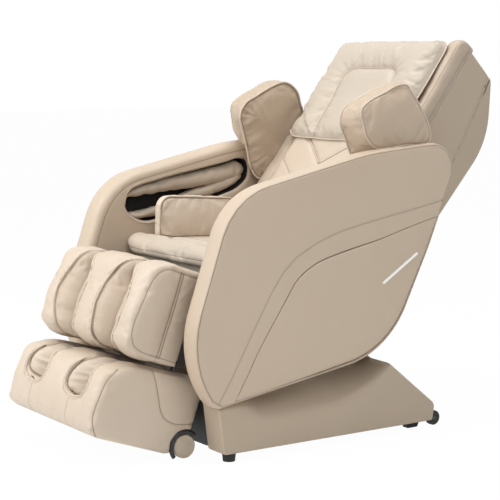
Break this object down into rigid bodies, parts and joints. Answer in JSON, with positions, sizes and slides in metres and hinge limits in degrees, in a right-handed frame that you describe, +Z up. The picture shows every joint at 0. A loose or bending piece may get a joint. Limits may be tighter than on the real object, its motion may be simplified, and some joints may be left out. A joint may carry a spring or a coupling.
{
  "type": "massage chair",
  "caption": "Upholstered reclining massage chair with side panels that hold the forearms, a leg rest with calf channels, a foot unit, a head pillow and shoulder wings.",
  "frame": {"origin": "on the floor, below the middle of the chair's outer box", "axes": "+Y from the foot unit to the back, +X to the sitter's left, +Z up"},
  "size_m": [0.784, 1.403, 1.1614],
  "materials": {
    "leather": "satin",
    "shell_plastic": "matte",
    "black_plastic": "matte",
    "black_rubber": "matte",
    "painted_steel": "satin",
    "bright_steel": "brushed",
    "accent_metal": "satin",
    "air_fabric": "matte"
  },
  "bodies": {
    "base": {"base_frame": "painted_steel", "base_cover_left": "shell_plastic", "base_cover_right": "shell_plastic", "base_rear_cover": "shell_plastic", "base_front_guard": "black_plastic", "rubber_feet": "black_rubber", "power_inlet": "black_plastic"},
    "caster_left": {"caster_wheel_left": "black_rubber"},
    "caster_right": {"caster_wheel_right": "black_rubber"},
    "rocker": {"power_switch": "black_plastic"},
    "seat": {"seat_frame": "painted_steel", "seat_pan": "black_plastic", "side_panel_left": "leather", "side_panel_right": "leather", "side_insert_left": "leather", "side_insert_right": "leather", "accent_bars": "accent_metal", "arm_airbags": "air_fabric", "seat_cushion": "leather", "hip_pad_left": "leather", "hip_pad_right": "leather", "air_pump": "black_plastic", "control_box": "black_plastic"},
    "back": {"back_frame": "painted_steel", "back_shell": "shell_plastic", "back_rear_cover": "shell_plastic", "back_pad": "leather", "back_side_pad_left": "leather", "back_side_pad_right": "leather", "shoulder_pad_left": "leather", "shoulder_pad_right": "leather", "lift_motor": "black_plastic"},
    "pillow": {"head_pillow": "leather"},
    "screw": {"lift_screw": "bright_steel"},
    "carriage": {"carriage": "black_plastic"},
    "kneader_left": {"roller_arm_left": "painted_steel"},
    "kneader_right": {"roller_arm_right": "painted_steel"},
    "roller_upper_left": {"massage_roller_upper_left": "black_plastic"},
    "roller_upper_right": {"massage_roller_upper_right": "black_plastic"},
    "roller_lower_left": {"massage_roller_lower_left": "black_plastic"},
    "roller_lower_right": {"massage_roller_lower_right": "black_plastic"},
    "legrest": {"legrest_frame": "painted_steel", "calf_shell": "shell_plastic", "calf_pad_left": "leather", "calf_pad_right": "leather", "calf_middle_pad": "leather", "calf_airbags": "air_fabric"},
    "footrest": {"foot_shell": "leather", "foot_liners": "air_fabric", "wheel_arches": "black_plastic", "foot_slides": "bright_steel"},
    "foot_roller": {"foot_roller": "black_plastic"},
    "wheel_left": {"front_wheel_left": "black_rubber"},
    "wheel_right": {"front_wheel_right": "black_rubber"},
    "tilt_body": {"tilt_actuator_body": "black_plastic"},
    "tilt_rod": {"tilt_actuator_rod": "bright_steel"},
    "back_body": {"back_actuator_body": "black_plastic"},
    "back_rod": {"back_actuator_rod": "bright_steel"},
    "leg_body": {"leg_actuator_body": "black_plastic"},
    "leg_rod": {"leg_actuator_rod": "bright_steel"}
  },
  "joints": [
    {"name": "seat_tilt", "type": "hinge", "parent": "base", "child": "seat", "pos_m": [0, -0.2495, 0.33], "axis": [-1, 0, 0], "range_deg": [0, 7]},
    {"name": "back_recline", "type": "hinge", "parent": "seat", "child": "back", "pos_m": [0, 0.1605, 0.48], "axis": [-1, 0, 0], "range_deg": [-20, 2]},
    {"name": "leg_raise", "type": "hinge", "parent": "seat", "child": "legrest", "pos_m": [0, -0.3215, 0.498], "axis": [-1, 0, 0], "range_deg": [0, 65]},
    {"name": "foot_extend", "type": "slide", "parent": "legrest", "child": "footrest", "axis": [0, -0.342, -0.9397], "range_m": [0, 0.1]},
    {"name": "pillow_flip", "type": "hinge", "parent": "back", "child": "pillow", "pos_m": [0, 0.58856, 1.14809], "axis": [-1, 0, 0], "range_deg": [0, 150]},
    {"name": "carriage_lift", "type": "slide", "parent": "back", "child": "carriage", "axis": [0, 0.6157, 0.788], "range_m": [-0.15, 0.3]},
    {"name": "screw_turn", "type": "hinge", "parent": "back", "child": "screw", "pos_m": [0, 0.46586, 0.74903], "axis": [0, 0.6157, 0.788], "continuous": true},
    {"name": "knead_left", "type": "hinge", "parent": "carriage", "child": "kneader_left", "pos_m": [0.062, 0.37327, 0.71985], "axis": [1, 0, 0], "range_deg": [-10, 10]},
    {"name": "roll_upper_left", "type": "hinge", "parent": "kneader_left", "child": "roller_upper_left", "pos_m": [0.082, 0.39642, 0.79821], "axis": [1, 0, 0], "continuous": true},
    {"name": "roll_lower_left", "type": "hinge", "parent": "kneader_left", "child": "roller_lower_left", "pos_m": [0.082, 0.30284, 0.67843], "axis": [1, 0, 0], "continuous": true},
    {"name": "caster_left_roll", "type": "hinge", "parent": "base", "child": "caster_left", "pos_m": [0.349, 0.4175, 0.027], "axis": [1, 0, 0], "continuous": true},
    {"name": "wheel_left_roll", "type": "hinge", "parent": "footrest", "child": "wheel_left", "pos_m": [0.241, -0.3981, 0.03317], "axis": [1, 0, 0], "continuous": true},
    {"name": "knead_right", "type": "hinge", "parent": "carriage", "child": "kneader_right", "pos_m": [-0.062, 0.37327, 0.71985], "axis": [1, 0, 0], "range_deg": [-10, 10]},
    {"name": "roll_upper_right", "type": "hinge", "parent": "kneader_right", "child": "roller_upper_right", "pos_m": [-0.082, 0.39642, 0.79821], "axis": [1, 0, 0], "continuous": true},
    {"name": "roll_lower_right", "type": "hinge", "parent": "kneader_right", "child": "roller_lower_right", "pos_m": [-0.082, 0.30284, 0.67843], "axis": [1, 0, 0], "continuous": true},
    {"name": "caster_right_roll", "type": "hinge", "parent": "base", "child": "caster_right", "pos_m": [-0.349, 0.4175, 0.027], "axis": [1, 0, 0], "continuous": true},
    {"name": "wheel_right_roll", "type": "hinge", "parent": "footrest", "child": "wheel_right", "pos_m": [-0.241, -0.3981, 0.03317], "axis": [1, 0, 0], "continuous": true},
    {"name": "foot_roller_turn", "type": "hinge", "parent": "footrest", "child": "foot_roller", "pos_m": [0, -0.5494, 0.07653], "axis": [1, 0, 0], "continuous": true},
    {"name": "switch_rock", "type": "hinge", "parent": "base", "child": "rocker", "pos_m": [-0.09, 0.30644, 0.1533], "axis": [1, 0, 0], "range_deg": [-6, 6]},
    {"name": "tilt_actuator_swing", "type": "hinge", "parent": "base", "child": "tilt_body", "pos_m": [0, 0.2105, 0.124], "axis": [1, 0, 0], "range_deg": [-0.5, 4.03]},
    {"name": "tilt_actuator_stroke", "type": "slide", "parent": "tilt_body", "child": "tilt_rod", "axis": [0, -0.4327, 0.9015], "range_m": [-0.0396, 0.001]},
    {"name": "back_actuator_swing", "type": "hinge", "parent": "seat", "child": "back_body", "pos_m": [0.078, -0.1195, 0.384], "axis": [1, 0, 0], "range_deg": [-0.69, 2.41]},
    {"name": "back_actuator_stroke", "type": "slide", "parent": "back_body", "child": "back_rod", "axis": [0, 0.9995, -0.0316], "range_m": [-0.0045, 0.0361]},
    {"name": "leg_actuator_swing", "type": "hinge", "parent": "seat", "child": "leg_body", "pos_m": [0, 0.0085, 0.334], "axis": [1, 0, 0], "range_deg": [-0.5, 3.68]},
    {"name": "leg_actuator_stroke", "type": "slide", "parent": "leg_body", "child": "leg_rod", "axis": [0, -0.9384, 0.3456], "range_m": [-0.001, 0.0587]}
  ],
  "couplings": [
    {"joint": "screw_turn", "follows": "carriage_lift", "rad_per_m": 314.16},
    {"joint": "tilt_actuator_swing", "follows": "seat_tilt", "ratio": 0.504},
    {"joint": "tilt_actuator_stroke", "follows": "seat_tilt", "m_per_rad": -0.31592},
    {"joint": "back_actuator_swing", "follows": "back_recline", "ratio": -0.0957},
    {"joint": "back_actuator_stroke", "follows": "back_recline", "m_per_rad": -0.10061},
    {"joint": "leg_actuator_swing", "follows": "leg_raise", "ratio": 0.04898},
    {"joint": "leg_actuator_stroke", "follows": "leg_raise", "m_per_rad": 0.050869}
  ]
}
